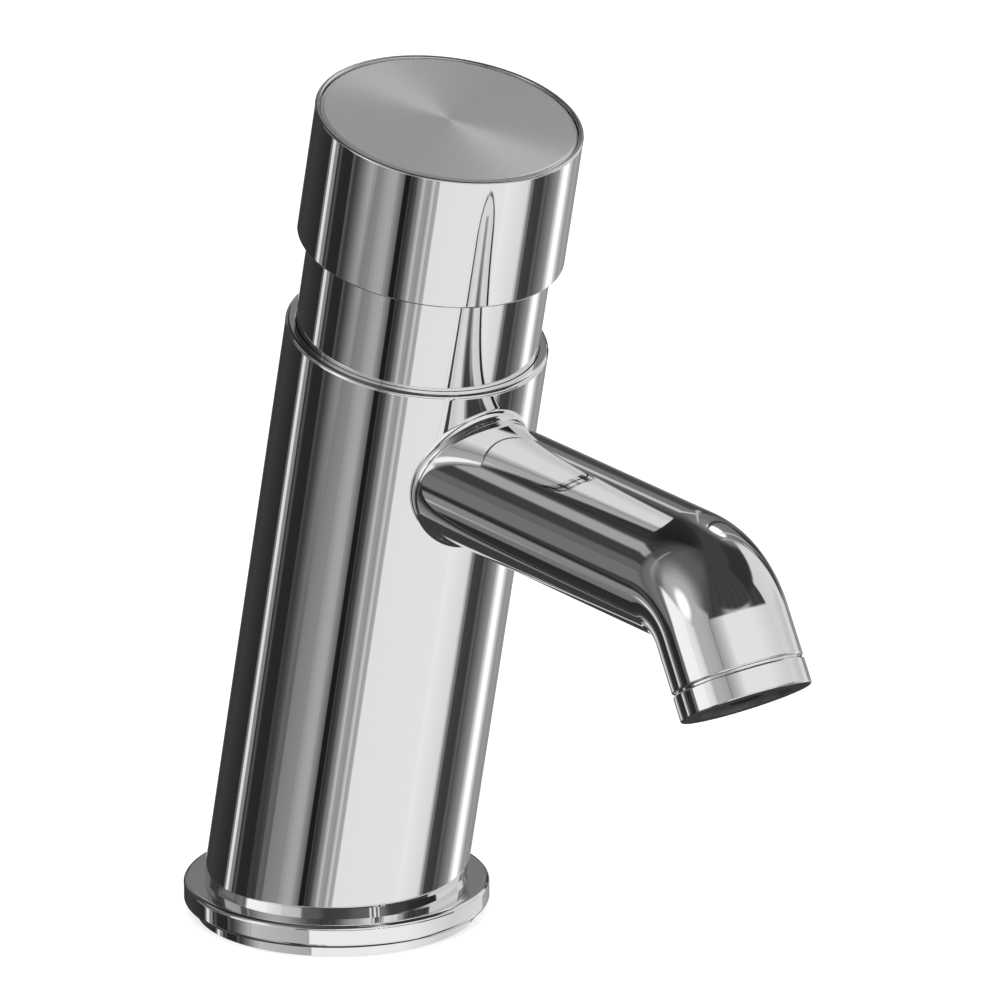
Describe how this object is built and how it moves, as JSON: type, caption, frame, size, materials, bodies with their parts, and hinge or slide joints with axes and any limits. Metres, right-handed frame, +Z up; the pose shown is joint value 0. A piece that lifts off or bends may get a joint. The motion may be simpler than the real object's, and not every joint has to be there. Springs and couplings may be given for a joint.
{
  "type": "basin tap",
  "caption": "Self-closing basin tap with a leaning round barrel, a push cap and a level spout that turns down to an aerator.",
  "frame": {"origin": "centre of the underside of the base ring, on the deck", "axes": "+Z up, square to the deck; the spout points along -Y; X is across the tap"},
  "size_m": [0.0602, 0.1745, 0.1774],
  "materials": {
    "polished_chrome": "mirror polish",
    "spun_metal": "matt, spun in fine circles",
    "stainless_steel": "turned",
    "brass": "turned",
    "black_rubber": "moulded",
    "grey_plastic": "moulded",
    "white_plastic": "moulded"
  },
  "bodies": {
    "tap": {"tap_body": "polished_chrome", "base_flange": "polished_chrome", "base_ring": "polished_chrome", "base_seal": "black_rubber", "foot_seal": "black_rubber", "neck_sleeve": "polished_chrome", "guide_ring": "white_plastic", "cartridge_shell": "brass", "valve_seat": "stainless_steel", "cartridge_head": "brass", "cartridge_seals": "black_rubber", "stem_seal": "black_rubber", "inlet_strainer": "stainless_steel", "aerator_housing": "polished_chrome", "aerator_insert": "grey_plastic", "flow_regulator": "white_plastic", "aerator_seal": "black_rubber", "return_spring": "stainless_steel"},
    "push_cap": {"cap_shell": "polished_chrome", "cap_top_disc": "spun_metal", "cap_screw": "stainless_steel", "stem": "stainless_steel", "piston": "white_plastic", "piston_seal": "black_rubber", "valve_washer": "black_rubber", "valve_carrier": "stainless_steel", "spring_cup": "brass"}
  },
  "joints": [
    {"name": "cap_press", "type": "slide", "parent": "tap", "child": "push_cap", "axis": [0, 0.2284, -0.9736], "range_m": [0, 0.008], "stiffness_N_per_m": 1500, "springref_m": -0.01, "deforming": ["return_spring"]}
  ]
}
